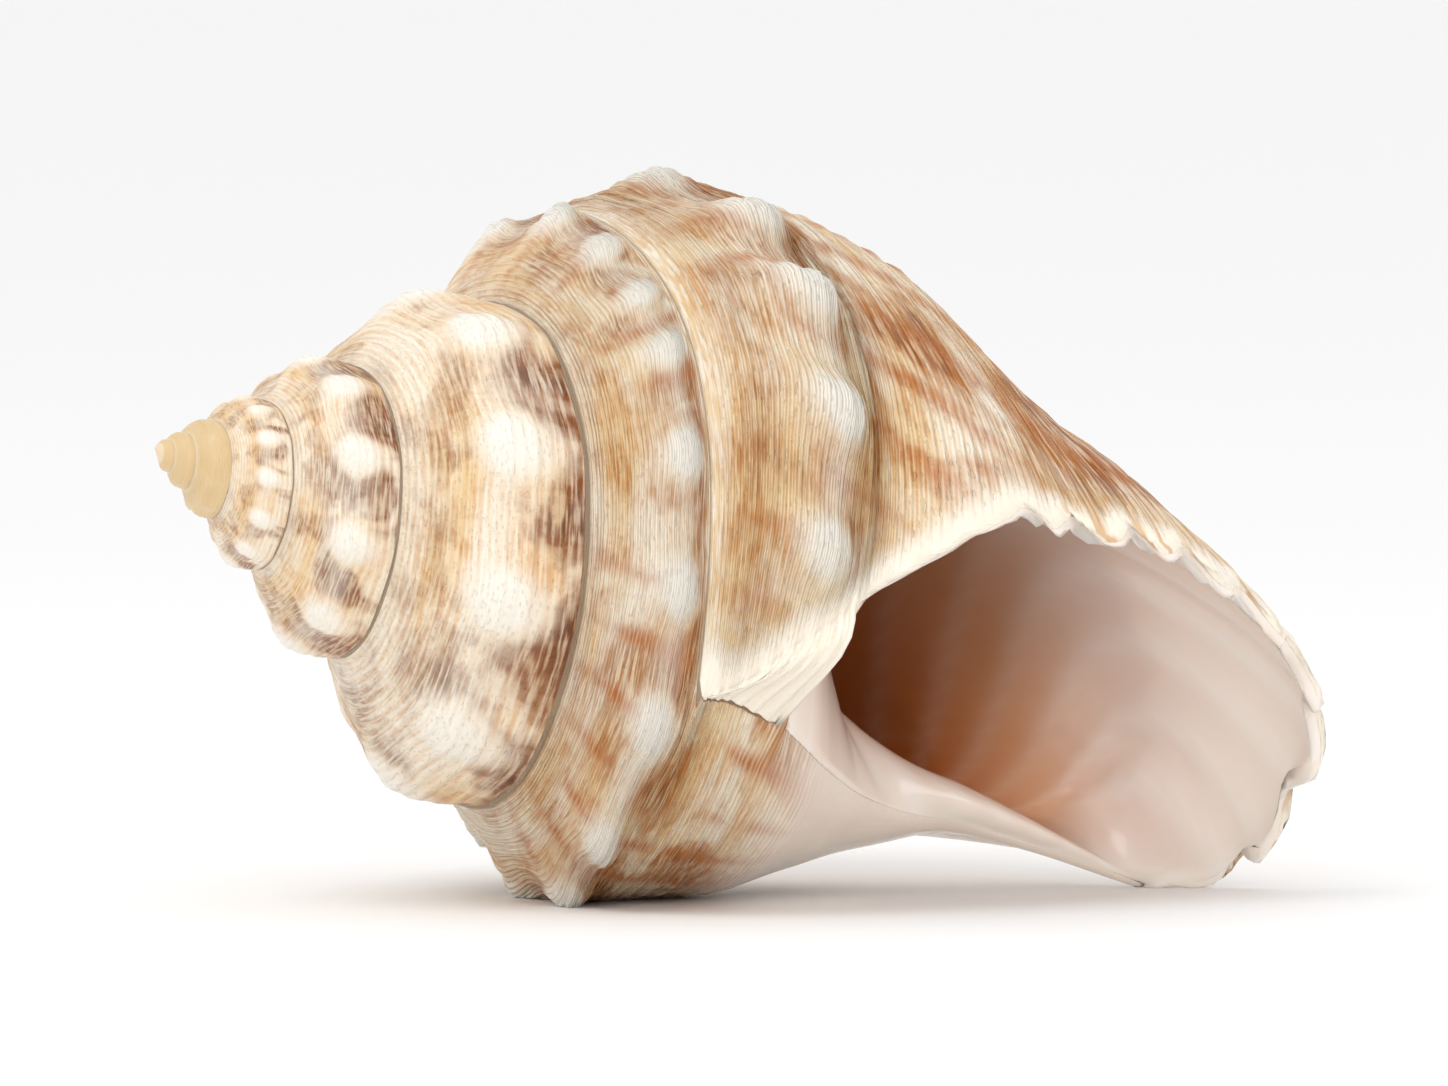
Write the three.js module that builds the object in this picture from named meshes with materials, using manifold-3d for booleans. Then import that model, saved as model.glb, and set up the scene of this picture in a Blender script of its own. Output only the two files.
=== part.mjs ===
// Knobbed sea-snail shell, one piece: a whorl wall wound seven turns about its axis, hollow behind the lip.
import * as THREE from "three";
import Module from "manifold-3d";

// The coil. A turn number n counts whorls from the apex; the wall is drawn in (radius, height) at each turn.
// Height runs along the axis from the apex, azimuth falls as the shell grows.
const GROWTH = 0.5491; // natural log of the growth in one turn
const SUTURE_RADIUS = 1.0683; // suture radius at turn 0
const SUTURE_HEIGHT = 1.6717; // suture height at turn 0
const START_AZIMUTH = 4.5272; // azimuth of turn 0, radians
const FIRST_TURN = -0.75; // where the apex is capped
const LAST_TURN = 6.7733; // where the suture meets the lip
const TURN_COLUMNS = 40; // columns of the mesh in one turn
const SHOULDER_R = 1.65; // spire shoulder over spire suture, radius
const SHOULDER_Z = 1.34; // spire shoulder over spire suture, height
const RAMP_R = 0.52; // middle of the ramp between suture and shoulder, part of the way out
const RAMP_Z = 0.44; // and part of the way along
const SIDE_TURN_IN = 1.5; // how far the side of a spire whorl turns in towards the next suture
const SIDE_BLEND_FROM = 5; // from this turn the side blends into the base
const APEX_HEIGHT = 0.9; // tip of the apex over the height of the first suture
const LOG_SUTURE_END = 5.9; // the suture leaves the log spiral here
const LOG_SHOULDER_END = 4.8; // and the shoulder here
const LIP_SEAT_END = 5.92; // the lip's end is seated on the turn before, as far as this turn

// Stations of the last turns: [turn, radius, height].
const SUTURE = [
  [5.8, 25.81, 40.39], [5.9, 27.27, 42.67], [6.0, 28.6, 44.0], [6.1, 29.9, 43.6],
  [6.2, 31.1, 43.0], [6.3, 32.8, 42.4], [6.4, 33.8, 41.8], [6.5, 32.6, 42.0],
  [6.6, 34.6, 44.0], [6.68, 36.2, 45.8], [6.73, 37.2, 47.0], [6.78, 38.4, 49.2],
];
const SHOULDER = [
  [4.8, 24.6, 31.25], [5.0, 27.45, 34.88], [5.2, 30.4, 38.4], [5.37, 32.6, 39.2],
  [5.46, 31.2, 39.6], [5.54, 31.2, 39.4], [5.61, 32.8, 42.2], [5.7, 34.4, 44.2],
  [5.79, 35.8, 46.2], [5.87, 36.4, 48.2], [5.93, 36.6, 50.8], [6.0, 35.4, 52.6],
  [6.1, 34.6, 52.2], [6.2, 34.8, 51.0], [6.3, 35.2, 49.8], [6.38, 35.8, 49.0],
  [6.45, 36.6, 49.6], [6.53, 38.4, 54.8], [6.58, 39.2, 57.8], [6.64, 39.6, 58.8],
  [6.7, 39.7, 58.0], [6.78, 39.2, 57.8],
];
// The base of the last whorl, from below the shoulder to the front end: seven [radius, height] per turn.
const BASE = [
  [5.77, [38.4, 50.5], [36.2, 57.5], [28, 65.5], [15.2, 74.1], [6.6, 80.9], [2.8, 87.6], [1.3, 96]],
  [5.93, [34.2, 55.8], [30, 61], [24, 67], [14.3, 74.1], [6.6, 80.6], [2.6, 87], [1.2, 96]],
  [6.05, [32.6, 57], [28, 63], [22.5, 69.5], [14.5, 76], [7, 82.5], [2.6, 89], [1.3, 98]],
  [6.14, [34, 58], [31.5, 65], [26, 73], [18, 79.5], [8.5, 86], [3.5, 93], [1.5, 100]],
  [6.22, [38, 58], [39, 66], [36.5, 74], [30, 81.5], [21.5, 88], [12, 95], [4, 103]],
  [6.35, [38.8, 58], [42, 66], [43, 73.8], [40, 81.2], [33.5, 88], [25.5, 96], [13, 105]],
  [6.5, [39.8, 58.5], [43.8, 66.5], [45.8, 73.8], [42.5, 82], [35.5, 89.5], [30, 97.5], [19, 107]],
  [6.6, [41.2, 63.5], [45, 74], [44, 84], [43.2, 94], [38.8, 107], [29.2, 116.5], [10.5, 118]],
  [6.78, [41.2, 63.5], [45, 74], [44, 84], [43.2, 94], [38.8, 107], [29.2, 116.5], [10.5, 118]],
];
const CANAL_CORNER = [0.9, 109.8]; // where the lip comes back to the columella
const CANAL_TIP = [0.3, 112.6];
// The lip is not one azimuth: [row, azimuth in degrees]. Rows are numbered as in wallPoints.
const LIP = [
  [0, -19], [1, -15], [2, -3], [3, 5], [4, 13], [5, 35], [6, 43], [7, 45], [8, 45],
  [9, 41], [10, 34], [10.5, 14], [11, -19],
];
const LIP_WARP_FROM = 6.3; // turn from which the columns lean towards the lip
// The columella leaves the axis: sideways and down, over these heights.
const LEAN_FRONT = [15, 56, 98];
const LEAN_DOWN = [18.7, 50, 86];
const LEAN_DOWN_SLOPE = 0.13;
const LEAN_SLOPE_FROM = 88;

// Knobs on the shoulder: [turn, knobs counted so far] and [turn, height of a knob].
const KNOB_COUNT = [
  [1.2, 0], [2.476, 15], [2.893, 20], [3.466, 26], [3.986, 31], [4.45, 35], [4.983, 40],
  [5.385, 44], [5.529, 46], [5.575, 47], [5.61, 48], [5.668, 49], [5.732, 50], [5.796, 51],
  [5.869, 52], [5.926, 53], [6.452, 61], [6.526, 62], [6.572, 63], [6.631, 64], [6.696, 65],
  [6.8, 66.6],
];
const KNOB_HEIGHT = [
  [1.8, 0], [2.5, 0.3], [3.5, 0.8], [4.5, 1.5], [5, 1.7], [5.385, 2.6], [5.53, 1.3],
  [5.85, 1.5], [5.926, 2.4], [6.1, 3.2], [6.45, 3], [6.6, 2.8], [6.7, 2], [6.78, 0.6],
];
const KNOB_ROWS = 0.75; // how far a knob reaches over the rows either side
const KNOB_SHARPNESS = 1.5; // over a plain wave
const KNOB_SINK = 0.35; // how far the gaps sink, in knob heights
const KNOB_FULL_TURN = 2.5; // the first knobs grow up to here

// The hollow behind the lip.
const WALL = 1.6; // thickness of the outer wall
const HOLLOW_FIRST_TURN = 5.9; // its closed inner end
const HOLLOW_OUTER_ROW = 3.6; // the first row of the wall that has the hollow behind it
const HOLLOW_INNER_ROW = 5.2; // and the last covered row of the turn before
// Front end of the hollow on the columella: [turn, radius, height, last row of the wall behind it].
const HOLLOW_CORNER = [
  [5.9, 3, 60, 6.6], [6.1, 2.2, 72, 7.6], [6.3, 1.6, 88, 9.4], [6.5, 1.2, 101, 10.4],
  [6.65, 1, 106.5, 10.8], [6.7733, 0.9, 109.8, 11],
];
const THIN_FROM_ROW = 9.5; // the wall thins from this row to the canal
const THINNEST = 0.4; // of its full thickness
const RIM_ROUNDING = 0.35; // how far the lip bulges, in wall thicknesses
const HOLLOW_BLEND_TURNS = 0.15; // the covered wall joins the outside over this
const HOLLOW_FRONT_ROW = 8.8; // from this row the hollow closes towards the columella
const HOLLOW_FRONT_STEPS = [0.4, 0.75]; // the two rows on the way to that end
const TURN_STEP = 0.01; // steps for finding the direction of the surface
const ROW_STEP = 0.05;

// Rows of the mesh: row values where the wall is drawn.
const EXPOSED_ROWS = [0, 0.5, 1, 1.5, 2, 2.4, 3];
const BASE_ROWS = [3.6, 4.3, 5.2, 5.8, 6.4, 7, 7.5, 8, 8.5, 9, 9.4, 9.8, 10.2, 10.6, 11];

// How the shell lies: the direction that points up, the heading that points right, in the coil's own axes.
const REST_UP = [-0.2246, -0.033, 0.9739];
const REST_RIGHT = [0.8934, 0.3978, 0.2085];
const REST_TRIM = 0.25; // the contact points are worn flat by this much

const clamp = (x, a, b) => Math.min(b, Math.max(a, x));

function smooth(x, a, b) {
  const t = clamp((x - a) / (b - a), 0, 1);
  return t * t * (3 - 2 * t);
}

// A smooth curve through [x, value...] stations, read in column c.
function through(stations, x, c = 1) {
  const last = stations.length - 1;
  const at = clamp(x, stations[0][0], stations[last][0]);
  let i = 0;
  while (i < last - 1 && at >= stations[i + 1][0]) i++;
  const slope = (k) => {
    const a = Math.max(k - 1, 0);
    const b = Math.min(k + 1, last);
    return (stations[b][c] - stations[a][c]) / (stations[b][0] - stations[a][0]);
  };
  const h = stations[i + 1][0] - stations[i][0];
  const t = (at - stations[i][0]) / h;
  return hermite(stations[i][c], stations[i + 1][c], slope(i) * h, slope(i + 1) * h, t);
}

function hermite(a, b, ma, mb, t) {
  const t2 = t * t;
  const t3 = t2 * t;
  return (2 * t3 - 3 * t2 + 1) * a + (t3 - 2 * t2 + t) * ma + (3 * t2 - 2 * t3) * b + (t3 - t2) * mb;
}

function straight(stations, x) {
  let i = 0;
  while (i < stations.length - 2 && x >= stations[i + 1][0]) i++;
  const [a, va] = stations[i];
  const [b, vb] = stations[i + 1];
  return va + ((vb - va) * (x - a)) / (b - a);
}

function suture(n) {
  const g = Math.exp(GROWTH * n);
  if (n < LOG_SUTURE_END) return [SUTURE_RADIUS * g, SUTURE_HEIGHT * g];
  return [through(SUTURE, n, 1), through(SUTURE, n, 2)];
}

function shoulder(n) {
  const g = Math.exp(GROWTH * n);
  if (n < LOG_SHOULDER_END) return [SUTURE_RADIUS * g * SHOULDER_R, SUTURE_HEIGHT * g * SHOULDER_Z];
  return [through(SHOULDER, n, 1), through(SHOULDER, n, 2)];
}

const mix = (a, b, t) => [a[0] + (b[0] - a[0]) * t, a[1] + (b[1] - a[1]) * t];

function basePoint(n, k) {
  const r = BASE.map((row) => [row[0], row[k + 1][0]]);
  const z = BASE.map((row) => [row[0], row[k + 1][1]]);
  return [through(r, n), through(z, n)];
}

// The wall of turn n: 0 suture, 2 shoulder, 3 where the next whorl sits, 4 to 10 base, 11 canal corner.
function wallPoints(n) {
  const s = suture(n);
  const h = shoulder(n);
  const ramp = [s[0] + (h[0] - s[0]) * RAMP_R, s[1] + (h[1] - s[1]) * RAMP_Z];
  const pts = [s, ramp, h];
  if (n < LAST_TURN - 1) {
    pts.push(suture(n + 1));
  } else {
    const flank = mix(h, basePoint(n, 0), 0.5);
    pts.push(mix(suture(LAST_TURN), flank, smooth(n, LAST_TURN - 1, LIP_SEAT_END)));
  }
  for (let k = 0; k < 7; k++) pts.push(basePoint(n, k));
  const seat = pts[3];
  const side = [seat[0] - SIDE_TURN_IN * (seat[0] - h[0]), 2 * seat[1] - h[1]];
  pts[4] = mix(side, pts[4], smooth(n, SIDE_BLEND_FROM, LAST_TURN - 1));
  pts.push(CANAL_CORNER, CANAL_TIP);
  return pts;
}

// The covered wall of the turn before, seen inside the hollow of turn n + 1.
function innerPoints(n) {
  const pts = wallPoints(n);
  const g = Math.exp(GROWTH * (n - LAST_TURN + 1));
  const open = smooth(n, LAST_TURN - 1 - HOLLOW_BLEND_TURNS, LAST_TURN - 1);
  const corner = [through(HOLLOW_CORNER, n + 1, 1), through(HOLLOW_CORNER, n + 1, 2)];
  const start = BASE[0].slice(1);
  for (let k = 0; k < 7; k++) pts[4 + k] = [start[k][0] * g, start[k][1] * g];
  pts[9] = mix(mix(pts[8], corner, HOLLOW_FRONT_STEPS[0]), start[5], open);
  pts[10] = mix(mix(pts[8], corner, HOLLOW_FRONT_STEPS[1]), start[6], open);
  pts[11] = corner;
  return pts;
}

function along(pts, s) {
  const i = clamp(Math.floor(s), 0, pts.length - 2);
  const slope = (k, c) => {
    if (k === 0) return pts[1][c] - pts[0][c];
    if (k === pts.length - 1) return pts[k][c] - pts[k - 1][c];
    return (pts[k + 1][c] - pts[k - 1][c]) / 2;
  };
  const t = s - i;
  return [0, 1].map((c) => hermite(pts[i][c], pts[i + 1][c], slope(i, c), slope(i + 1, c), t));
}

// Radius, height and turn to a point in the coil's axes: axis, front, up.
function place([r, z], n) {
  const a = START_AZIMUTH - 2 * Math.PI * n;
  const front = LEAN_FRONT[0] * smooth(z, LEAN_FRONT[1], LEAN_FRONT[2]);
  const drop = LEAN_DOWN[0] * smooth(z, LEAN_DOWN[1], LEAN_DOWN[2]);
  const slide = LEAN_DOWN_SLOPE * Math.max(0, z - LEAN_SLOPE_FROM);
  return new THREE.Vector3(z, front + r * Math.cos(a), r * Math.sin(a) - drop - slide);
}

// Column q and row s of the last turn lean so that the last column is the lip.
function turnOf(q, s) {
  if (q <= LIP_WARP_FROM) return q;
  const azimuth = (through(LIP, s) * Math.PI) / 180;
  const end = Math.floor(LAST_TURN) + (START_AZIMUTH - azimuth) / (2 * Math.PI);
  const part = (q - LIP_WARP_FROM) / (LAST_TURN - LIP_WARP_FROM);
  return LIP_WARP_FROM + part * (end - LIP_WARP_FROM);
}

function knob(n, s) {
  const height = through(KNOB_HEIGHT, n);
  const wave = 0.5 + 0.5 * Math.cos(2 * Math.PI * straight(KNOB_COUNT, n));
  const reach = Math.exp(-(((s - 2) / KNOB_ROWS) ** 2));
  const grown = smooth(n, KNOB_HEIGHT[0][0], KNOB_FULL_TURN);
  return height * (wave ** KNOB_SHARPNESS - KNOB_SINK) * reach * grown;
}

function outside(q, s) {
  const n = turnOf(q, s);
  const p = along(wallPoints(n), s);
  return place([p[0] + knob(n, s), p[1]], n);
}

// The inner face of the outer wall: the outside moved in along its normal.
function inside(q, s) {
  const at = (column, row) => {
    const n = turnOf(column, row);
    return place(along(wallPoints(n), row), n);
  };
  const ahead = Math.min(q + TURN_STEP, LAST_TURN);
  const growth = at(ahead, s).sub(at(ahead - 2 * TURN_STEP, s));
  const across = at(q, s + ROW_STEP).sub(at(q, s - ROW_STEP));
  const inward = growth.cross(across).normalize();
  const thick = WALL * (1 - (1 - THINNEST) * smooth(s, THIN_FROM_ROW, 11));
  return at(q, s).addScaledVector(inward, thick);
}

const positions = [];
const triangles = [];

function vertex(p) {
  positions.push(p.x, p.y, p.z);
  return positions.length / 3 - 1;
}

function point(id) {
  return new THREE.Vector3().fromArray(positions, 3 * id);
}

function triangle(a, b, c) {
  if (a !== b && b !== c && a !== c) triangles.push(a, b, c);
}

// Faces between two lines of vertices of any lengths.
function strip(left, right) {
  let i = 0;
  let j = 0;
  while (i < left.length - 1 || j < right.length - 1) {
    const a = i < left.length - 1 ? (i + 1) / (left.length - 1) : 2;
    const b = j < right.length - 1 ? (j + 1) / (right.length - 1) : 2;
    if (a <= b) {
      triangle(left[i], right[j], left[i + 1]);
      i++;
    } else {
      triangle(left[i], right[j], right[j + 1]);
      j++;
    }
  }
}

const lastColumn = Math.floor((LAST_TURN - FIRST_TURN) * TURN_COLUMNS);
const turnAt = (i) => LAST_TURN - (lastColumn - i) / TURN_COLUMNS;
const openColumn = lastColumn - TURN_COLUMNS; // the column one turn behind the lip
const hollowColumn = lastColumn - Math.round((LAST_TURN - HOLLOW_FIRST_TURN) * TURN_COLUMNS);
const corner = BASE_ROWS.length - 1;
const innerStart = BASE_ROWS.indexOf(HOLLOW_INNER_ROW);

// Outside of every whorl: the last exposed row is the suture row of the turn after.
const exposed = [];
for (let i = lastColumn; i >= 0; i--) {
  const next = exposed[i + TURN_COLUMNS];
  const rows = next ? EXPOSED_ROWS.slice(0, -1) : EXPOSED_ROWS;
  exposed[i] = rows.map((s) => vertex(outside(turnAt(i), s)));
  if (next) exposed[i].push(next[0]);
}

// Base of the last whorl, out to the canal corner, where its two ends meet.
const base = [];
for (let i = openColumn; i <= lastColumn; i++) {
  const rows = i === lastColumn ? BASE_ROWS.slice(0, -1) : BASE_ROWS;
  base[i] = rows.map((s) => vertex(outside(turnAt(i), s)));
}
base[lastColumn].push(base[openColumn][corner]);

// The covered wall inside the hollow, then the inner face of the outer wall.
const covered = [];
for (let i = hollowColumn - TURN_COLUMNS; i < openColumn; i++) {
  const n = turnAt(i);
  const pts = innerPoints(n);
  covered[i] = BASE_ROWS.slice(innerStart).map((s) => vertex(place(along(pts, s), n)));
}
covered[openColumn] = base[openColumn].slice(innerStart);

const liner = [];
for (let i = hollowColumn; i <= lastColumn; i++) {
  const q = turnAt(i);
  const stretch = (through(HOLLOW_CORNER, q, 3) - HOLLOW_OUTER_ROW) / (11 - HOLLOW_OUTER_ROW);
  const behind = covered[i - TURN_COLUMNS];
  const row = (s) => inside(q, HOLLOW_OUTER_ROW + (s - HOLLOW_OUTER_ROW) * stretch);
  const end = point(behind[behind.length - 1]);
  const wall = BASE_ROWS.slice(0, -1).map((s) => {
    const front = smooth(s, HOLLOW_FRONT_ROW, 11) * (1 - smooth(q, LIP_WARP_FROM, LAST_TURN));
    return vertex(row(s).lerp(end, front));
  });
  liner[i] = [behind[0], ...wall, behind[behind.length - 1]];
}

// Faces between neighbouring columns; flip turns them to face the hollow.
function skin(columns, from, to, flip) {
  for (let i = from; i < to; i++) {
    for (let j = 0; j < columns[i].length - 1; j++) {
      const [a, b] = [columns[i][j], columns[i + 1][j]];
      const [c, d] = [columns[i + 1][j + 1], columns[i][j + 1]];
      if (flip) {
        triangle(a, d, c);
        triangle(a, c, b);
      } else {
        triangle(a, b, c);
        triangle(a, c, d);
      }
    }
  }
}

function fan(line, tip) {
  for (let k = 0; k < line.length - 1; k++) triangle(line[k], line[k + 1], tip);
}

skin(exposed, 0, lastColumn, false);
const lastWall = base.map((column, i) => [exposed[i][EXPOSED_ROWS.length - 1], ...column]);
skin(lastWall, openColumn, lastColumn, false);
skin(covered, hollowColumn - TURN_COLUMNS, openColumn, false);
skin(liner, hollowColumn, lastColumn, true);

// The rim: the lip sits on the turn before as far as the corner, then stands free.
const lip = [...exposed[lastColumn], ...base[lastColumn]];
const seat = exposed[lastColumn].length;
strip(lip.slice(0, seat + 1), lastWall[openColumn].slice(0, innerStart + 2));
const freeLip = lip.slice(seat);
const inner = liner[lastColumn];
const rim = freeLip.slice(1, -1).map((id, k) => {
  const out = point(id);
  const back = point(base[lastColumn - 1][k + 1]);
  const ahead = out.clone().sub(back).setLength(WALL * RIM_ROUNDING);
  return vertex(out.lerp(point(inner[k + 2]), 0.5).add(ahead));
});
const middle = [freeLip[0], ...rim, freeLip[freeLip.length - 1]];
strip(freeLip, middle);
strip(middle, inner);

// Closed ends: the apex, the canal tip and the inner end of the hollow.
const apexTurn = turnAt(0);
const apex = vertex(place([0, suture(apexTurn)[1] * APEX_HEIGHT], apexTurn));
const start = exposed.slice(0, TURN_COLUMNS + 1).map((column) => column[0]);
fan(start.reverse(), apex);
fan(exposed[0], apex);
const ring = base.slice(openColumn).map((column) => column[corner]);
fan(ring, vertex(place([0, CANAL_TIP[1]], LAST_TURN)));
const hollowEnd = [...liner[hollowColumn]].reverse();
const coveredEnd = covered[hollowColumn - TURN_COLUMNS];
const around = [...hollowEnd, ...coveredEnd];
const total = around.reduce((sum, id) => sum.add(point(id)), new THREE.Vector3());
const deepest = vertex(total.divideScalar(around.length));
fan(hollowEnd, deepest);
fan(coveredEnd, deepest);

// Turn the coil's axes (axis, front, up) so that the shell lies as it rests, then wear its contacts flat.
const up = new THREE.Vector3(...REST_UP).normalize();
const right = new THREE.Vector3(...REST_RIGHT);
right.addScaledVector(up, -right.dot(up)).normalize();
const away = right.clone().cross(up);
const turned = [];
for (let id = 0; id < positions.length / 3; id++) {
  const p = point(id);
  turned.push(p.dot(right), p.dot(away), p.dot(up));
}

const wasm = await Module();
wasm.setup();
const solid = new wasm.Manifold(
  new wasm.Mesh({
    numProp: 3,
    vertProperties: new Float32Array(turned),
    triVerts: new Uint32Array(triangles),
  }),
);
const box = solid.boundingBox();
const middleX = (box.min[0] + box.max[0]) / 2;
const middleY = (box.min[1] + box.max[1]) / 2;
const lying = solid.translate([-middleX, -middleY, -box.min[2] - REST_TRIM]).trimByPlane([0, 0, 1], 0);

const made = lying.getMesh();
const geometry = new THREE.BufferGeometry();
geometry.setAttribute("position", new THREE.BufferAttribute(made.vertProperties, 3));
geometry.setIndex(new THREE.BufferAttribute(made.triVerts, 1));
const flat = geometry.toNonIndexed();
flat.computeVertexNormals();

const ivory = new THREE.MeshStandardMaterial({ color: 0xdcc3a1, roughness: 0.42, metalness: 0 });
const shell = new THREE.Mesh(flat, ivory);
shell.name = "shell";
const root = new THREE.Group();
root.add(shell);
export default root;
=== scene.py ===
"""A knobbed, spired sea-snail shell lying on its side, with a flaring scalloped lip."""
import math

import bpy
import numpy as np
from mathutils import Matrix, Vector


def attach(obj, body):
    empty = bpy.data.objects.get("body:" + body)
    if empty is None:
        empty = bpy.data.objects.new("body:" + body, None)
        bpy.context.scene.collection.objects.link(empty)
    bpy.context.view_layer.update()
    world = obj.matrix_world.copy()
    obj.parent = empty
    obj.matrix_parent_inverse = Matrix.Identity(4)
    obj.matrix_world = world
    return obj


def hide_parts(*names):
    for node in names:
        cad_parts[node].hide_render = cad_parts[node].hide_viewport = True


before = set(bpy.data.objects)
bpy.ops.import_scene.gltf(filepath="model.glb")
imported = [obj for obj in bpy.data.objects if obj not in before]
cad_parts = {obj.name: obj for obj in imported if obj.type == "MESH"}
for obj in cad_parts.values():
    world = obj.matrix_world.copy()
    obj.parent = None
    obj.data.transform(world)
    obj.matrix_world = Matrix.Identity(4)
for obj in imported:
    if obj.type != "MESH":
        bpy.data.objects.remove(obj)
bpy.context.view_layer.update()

# ---------------------------------------------------------------------------------------------
# The shell. One wall of lime, grown by the snail as a coil that widens about 1.7 times a turn, each
# turn seated on the one before. The wall is drawn at every turn from the suture, over the shoulder,
# down the base to the canal, and wound about the axis as one closed skin.
# ---------------------------------------------------------------------------------------------
MM = 0.001
growth_a_turn = 0.5491
suture_radius, suture_height = 1.0683, 1.6717
start_azimuth = 4.5272
first_turn, last_turn = -0.75, 6.7733
columns_a_turn = 176
shoulder_out, shoulder_along = 1.65, 1.34
ramp_out, ramp_along = 0.52, 0.44
apex_height = 0.9
side_turn_in, side_blend_from = 1.5, 5.0
spiral_suture_end, spiral_shoulder_end = 5.9, 4.8
lip_seat_end = 5.92

suture_stations = np.array([
    [5.8, 25.81, 40.39], [5.9, 27.27, 42.67], [6.0, 28.6, 44.0], [6.1, 29.9, 43.6],
    [6.2, 31.1, 43.0], [6.3, 32.8, 42.4], [6.4, 33.8, 41.8], [6.5, 32.6, 42.0],
    [6.6, 34.6, 44.0], [6.68, 36.2, 45.8], [6.73, 37.2, 47.0], [6.78, 38.4, 49.2],
])
shoulder_stations = np.array([
    [4.8, 24.6, 31.25], [5.0, 27.45, 34.88], [5.2, 30.4, 38.4], [5.37, 32.6, 39.2],
    [5.46, 31.2, 39.6], [5.54, 31.2, 39.4], [5.61, 32.8, 42.2], [5.7, 34.4, 44.2],
    [5.79, 35.8, 46.2], [5.87, 36.4, 48.2], [5.93, 36.6, 50.8], [6.0, 35.4, 52.6],
    [6.1, 34.6, 52.2], [6.2, 34.8, 51.0], [6.3, 35.2, 49.8], [6.38, 35.8, 49.0],
    [6.45, 36.6, 49.6], [6.53, 38.4, 54.8], [6.58, 39.2, 57.8], [6.64, 39.6, 58.8],
    [6.7, 39.7, 58.0], [6.78, 39.2, 57.8],
])
base_turns = np.array([5.77, 5.93, 6.05, 6.14, 6.22, 6.35, 6.5, 6.6, 6.78])
base_stations = np.array([
    [[38.4, 50.5], [36.2, 57.5], [28, 65.5], [15.2, 74.1], [6.6, 80.9], [2.8, 87.6], [1.3, 96]],
    [[34.2, 55.8], [30, 61], [24, 67], [14.3, 74.1], [6.6, 80.6], [2.6, 87], [1.2, 96]],
    [[32.6, 57], [28, 63], [22.5, 69.5], [14.5, 76], [7, 82.5], [2.6, 89], [1.3, 98]],
    [[34, 58], [31.5, 65], [26, 73], [18, 79.5], [8.5, 86], [3.5, 93], [1.5, 100]],
    [[38, 58], [39, 66], [36.5, 74], [30, 81.5], [21.5, 88], [12, 95], [4, 103]],
    [[38.8, 58], [42, 66], [43, 73.8], [40, 81.2], [33.5, 88], [25.5, 96], [13, 105]],
    [[39.8, 58.5], [43.8, 66.5], [45.8, 73.8], [42.5, 82], [35.5, 89.5], [30, 97.5], [19, 107]],
    [[41.2, 63.5], [45, 74], [44, 84], [43.2, 94], [38.8, 107], [29.2, 116.5], [10.5, 118]],
    [[41.2, 63.5], [45, 74], [44, 84], [43.2, 94], [38.8, 107], [29.2, 116.5], [10.5, 118]],
])
canal_corner, canal_tip = (0.9, 109.8), (0.3, 112.6)
lip_azimuths = np.array([
    [0, -19], [1, -15], [2, -3], [3, 5], [4, 13], [5, 35], [6, 43], [7, 45], [8, 45],
    [9, 41], [10, 34], [10.5, 14], [11, -19],
])
lip_lean_from = 6.3
lean_front, lean_down = (15, 56, 98), (18.7, 50, 86)
lean_slope, lean_slope_from = 0.13, 88
knob_counts = np.array([
    [1.2, 0], [2.476, 15], [2.893, 20], [3.466, 26], [3.986, 31], [4.45, 35], [4.983, 40],
    [5.385, 44], [5.529, 46], [5.575, 47], [5.61, 48], [5.668, 49], [5.732, 50], [5.796, 51],
    [5.869, 52], [5.926, 53], [6.452, 61], [6.526, 62], [6.572, 63], [6.631, 64], [6.696, 65],
    [6.8, 66.6],
])
knob_heights = np.array([
    [1.3, 0], [1.8, 0.2], [2.6, 0.65], [3.5, 1.1], [4.5, 1.6], [5, 1.7], [5.385, 2.6], [5.53, 1.3],
    [5.85, 1.5], [5.926, 2.4], [6.1, 3.2], [6.45, 3], [6.6, 2.8], [6.7, 2], [6.78, 0.6],
])
wall, thinnest, thin_from_row = 1.6, 0.4, 9.5
hollow_first_turn, hollow_outer_row, hollow_inner_row = 5.9, 3.6, 5.2
hollow_corners = np.array([
    [5.9, 3, 60, 6.6], [6.1, 2.2, 72, 7.6], [6.3, 1.6, 88, 9.4], [6.5, 1.2, 101, 10.4],
    [6.65, 1, 106.5, 10.8], [6.7733, 0.9, 109.8, 11],
])
hollow_blend, hollow_front_row = 0.15, 8.8
rim_rounding = 0.35
fold_swell = 0.45
coil_origin = np.array([-59.479, -22.307, 46.986])
rest_up = np.array([-0.2246, -0.033, 0.9739])
rest_right = np.array([0.8934, 0.3978, 0.2085])

rest_up = rest_up / np.linalg.norm(rest_up)
rest_right = rest_right - rest_right.dot(rest_up) * rest_up
rest_right = rest_right / np.linalg.norm(rest_right)
lying = np.stack([rest_right, np.cross(rest_right, rest_up), rest_up])


def ease(x, a, b):
    """0 below a, 1 above b, smooth between."""
    t = np.clip((x - a) / (b - a), 0, 1)
    return t * t * (3 - 2 * t)


def bend(a, b, slope_a, slope_b, t):
    """From a to b as t goes from 0 to 1, leaving and arriving at these slopes."""
    return ((2 * t**3 - 3 * t**2 + 1) * a + (t**3 - 2 * t**2 + t) * slope_a
            + (3 * t**2 - 2 * t**3) * b + (t**3 - t**2) * slope_b)


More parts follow.
